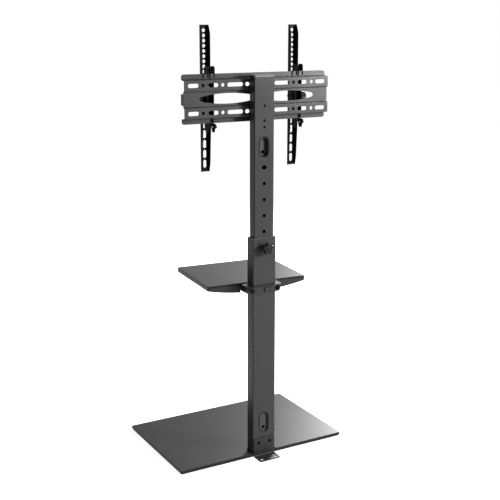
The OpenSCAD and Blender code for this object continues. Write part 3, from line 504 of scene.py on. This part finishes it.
def socket_head(radius, height, socket, edge=None):
    """Rings of a button head from its socket's floor to its seat at zero. The head stands up along minus."""
    rim = edge or round_rim
    return [
        (-0.35 * height, hex_rim(socket)),
        (-0.92 * height, hex_rim(socket)),
        (-height, round_rim(1.25 * socket)),
        (-0.96 * height, round_rim(0.72 * radius)),
        (-0.82 * height, round_rim(0.89 * radius)),
        (-0.58 * height, rim(0.98 * radius)),
        (-0.12 * height, rim(radius)),
        (0, round_rim(0.95 * radius)),
    ]


def flip(rings, length):
    """The same rings seen from the other end of a piece of that length."""
    return [(length - distance, rim) for distance, rim in reversed(rings)]


def make_height_knob():
    """A five-lobed knob with a collar and a raised button."""
    low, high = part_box("height_knob")
    outer, hollow, lobes = 20, 12.6, 5
    place = Vector((0, low.y, high.z - outer * MM))

    def grip(share):
        return lobed_rim(outer * share, hollow * share, lobes)

    form = bmesh.new()
    add_turned(form, place, (0, 1, 0), [
        (0, round_rim(4.2)), (0, round_rim(9.2)), (0.8, round_rim(10)), (2.2, round_rim(9.4)), (5.6, round_rim(9.4)),
        (7.2, round_rim(10)),
        (8, grip(0.86)), (8.6, grip(0.95)), (9.8, grip(1)), (14.8, grip(0.99)), (16.6, grip(0.95)), (17.7, grip(0.87)),
        (18, grip(0.76)),
        (17.6, round_rim(8.4)), (17.5, round_rim(6.9)), (18.9, round_rim(6.3)), (19.4, round_rim(4.6)),
        (19.5, round_rim(2)),
    ])
    make_piece("height_knob", form)


def make_tilt_knob(node, outward):
    """A long six-lobed knob with a sunk end."""
    low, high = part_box(node)
    outer, hollow, lobes = 12, 8.9, 6
    start = low if outward > 0 else high
    place = Vector((start.x, (low.y + high.y) / 2, (low.z + high.z) / 2))

    def grip(share):
        return lobed_rim(outer * share, hollow * share, lobes)

    form = bmesh.new()
    add_turned(form, place, (outward, 0, 0), [
        (0, round_rim(3.2)), (0, round_rim(6.4)), (0.5, round_rim(7)), (3.6, round_rim(6.8)), (4, grip(0.88)),
        (4.8, grip(0.96)), (6.2, grip(1)), (18.5, grip(0.97)), (20.8, grip(0.93)), (22.1, grip(0.84)),
        (22.5, grip(0.72)), (22.2, round_rim(5.2)), (21.6, round_rim(4.8)),
    ])
    make_piece(node, form)


def make_thumbscrew(node):
    """A knurled head with a neck, and its shaft."""
    low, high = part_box(node)
    head, shaft = 8, 2
    place = Vector((low.x + head * MM, (low.y + high.y) / 2, (low.z + high.z) / 2))
    length = (high.x - place.x) / MM

    def knurl(share):
        return ridged_rim(5 * share, 0.4, 24)

    form = bmesh.new()
    add_turned(form, place, (1, 0, 0), [
        (-7.6, round_rim(2.4)), (-8, round_rim(3.6)), (-7.7, knurl(0.92)), (-7, knurl(1)), (-2.6, knurl(1)),
        (-2.2, round_rim(3.5)), (-0.6, round_rim(3.5)), (0, round_rim(3.2)), (0, round_rim(shaft)),
        (length - 0.4, round_rim(shaft)), (length, round_rim(shaft - 0.4)),
    ])
    make_piece(node, form)


def shank(length):
    """Rings of a bolt's shank from its head to its chamfered end."""
    return [
        (0, round_rim(BOLT_SHANK)),
        (length - BOLT_CHAMFER, round_rim(BOLT_SHANK)),
        (length, round_rim(BOLT_SHANK - BOLT_CHAMFER)),
    ]


def make_pivot_bolt(node):
    """A shank with a head at both ends."""
    low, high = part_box(node)
    place = Vector((low.x + BOLT_HEIGHT * MM, (low.y + high.y) / 2, (low.z + high.z) / 2))
    length = (high.x - low.x) / MM - 2 * BOLT_HEIGHT
    head = socket_head(BOLT_HEAD, BOLT_HEIGHT, BOLT_SOCKET)
    middle = [(0, round_rim(BOLT_SHANK)), (length, round_rim(BOLT_SHANK))]
    form = bmesh.new()
    add_turned(form, place, (1, 0, 0), head + middle + flip(head, length))
    make_piece(node, form)


def make_tilt_bolt(node, outward):
    """A bolt that runs outward from its head, 1 for +X and -1 for -X."""
    low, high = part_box(node)
    start = low.x if outward > 0 else high.x
    place = Vector((start + outward * BOLT_HEIGHT * MM, (low.y + high.y) / 2, (low.z + high.z) / 2))
    length = (high.x - low.x) / MM - BOLT_HEIGHT
    form = bmesh.new()
    add_turned(form, place, (outward, 0, 0), socket_head(BOLT_HEAD, BOLT_HEIGHT, BOLT_SOCKET) + shank(length))
    make_piece(node, form)


def make_rear_bolts(node, radius, height, socket, edge=None):
    """A pair of bolts side by side, put in from behind."""
    low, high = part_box(node)
    length = (high.y - low.y) / MM - height
    form = bmesh.new()
    for x in (low.x + radius * MM, high.x - radius * MM):
        place = Vector((x, high.y - height * MM, high.z - radius * MM))
        add_turned(form, place, (0, -1, 0), socket_head(radius, height, socket, edge) + shank(length))
    make_piece(node, form)


def knurled_head(radius):
    """The rim of a fine-knurled bolt head."""
    return ridged_rim(radius, 0.35, 36)


make_camera()
make_world()
make_floor()
for lamp_name, lamp in LAMPS.items():
    make_lamp(lamp_name, **lamp)
dress_nodes()
for soft_node, soft_width in SOFT_EDGES.items():
    make_soft(soft_node, soft_width)
make_height_knob()
make_tilt_knob("left_tilt_knob", 1)
make_tilt_knob("right_tilt_knob", -1)
make_tilt_bolt("left_tilt_bolt", 1)
make_tilt_bolt("right_tilt_bolt", -1)
for side in ("left", "right"):
    make_thumbscrew(side + "_lock_screw")
    make_pivot_bolt(side + "_pivot_bolt")
make_rear_bolts("bracket_screws", 5.5, 3, 2.4)
make_rear_bolts("clamp_bolts", 7.5, 5.5, 3.4, knurled_head)

bpy.context.scene.view_settings.view_transform = "Standard"
